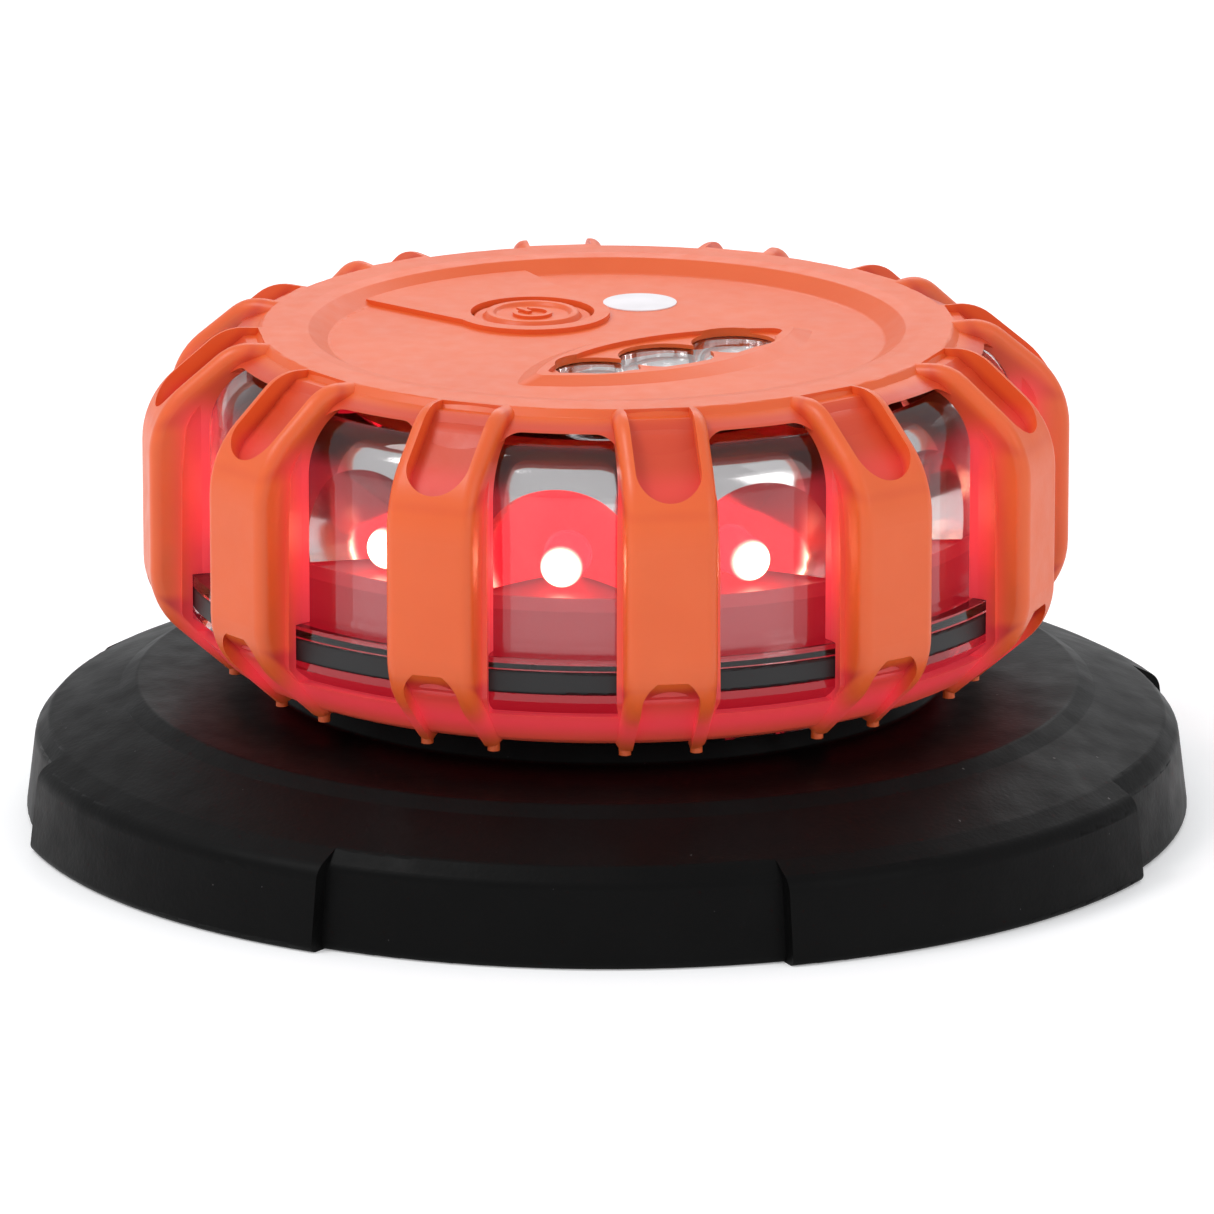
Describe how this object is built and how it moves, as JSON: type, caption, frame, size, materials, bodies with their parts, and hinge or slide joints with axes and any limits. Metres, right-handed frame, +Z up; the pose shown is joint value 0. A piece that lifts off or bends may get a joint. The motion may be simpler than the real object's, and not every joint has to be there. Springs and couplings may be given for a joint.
{
  "type": "led safety flare",
  "caption": "Round orange rubber-jacketed LED warning light with ribs, clear windows, top torch and push button, held by a magnet on a lobed black rubber base.",
  "frame": {"origin": "centre of the rubber base's flat underside", "axes": "+Z up along the axis of base and flare, -Y through the middle of one of the base's set-back flats"},
  "size_m": [0.135, 0.135, 0.0573],
  "materials": {
    "base_rubber": "matt moulded black rubber, scuffed",
    "keeper_steel": "zinc-plated mild steel",
    "jacket_rubber": "satin orange elastomer, slightly translucent at thin edges",
    "button_rubber": "satin orange elastomer",
    "clear_plastic": "clear polycarbonate",
    "seal_rubber": "black silicone",
    "screw_steel": "stainless screws",
    "magnet_metal": "nickel-plated magnet",
    "cup_steel": "plated steel cup",
    "frame_plastic": "pale grey ABS",
    "cell_wrap": "plain dark sleeve on dry cells",
    "contact_metal": "nickel-plated contact strip and spring",
    "board_laminate": "white solder mask on glass laminate",
    "led_epoxy": "red tinted epoxy, lit",
    "white_led": "white LED package",
    "lead_metal": "tinned leads and pins",
    "black_component": "black component body",
    "bright_reflector": "vacuum-metallised plastic",
    "label_paper": "blank white paper dot"
  },
  "bodies": {
    "base": {"rubber_base": "base_rubber", "steel_keeper": "keeper_steel"},
    "flare": {"rubber_jacket": "jacket_rubber", "lens_housing": "clear_plastic", "bottom_cover": "clear_plastic", "seal_ring": "seal_rubber", "cover_screws": "screw_steel", "magnet_cup": "cup_steel", "magnet": "magnet_metal", "label_dot": "label_paper", "battery_frame": "frame_plastic", "battery_cells": "cell_wrap", "contact_plates": "contact_metal", "contact_springs": "contact_metal", "main_board": "board_laminate", "board_screws": "screw_steel", "red_leds": "led_epoxy", "led_leads": "lead_metal", "resistors": "black_component", "driver_chip": "black_component", "reflector_ring": "bright_reflector", "upper_board": "board_laminate", "upper_board_screws": "screw_steel", "link_pins": "lead_metal", "torch_reflector": "bright_reflector", "torch_leds": "white_led", "tactile_switch": "black_component", "button_seal": "seal_rubber"},
    "button": {"button_cap": "button_rubber", "switch_plunger": "black_component"}
  },
  "joints": [
    {"name": "flare_lift", "type": "slide", "parent": "base", "child": "flare", "axis": [0, 0, 1], "range_m": [0, 0.06]},
    {"name": "button_press", "type": "slide", "parent": "flare", "child": "button", "axis": [0, 0, -1], "range_m": [0, 0.0006], "stiffness_N_per_m": 2500}
  ]
}
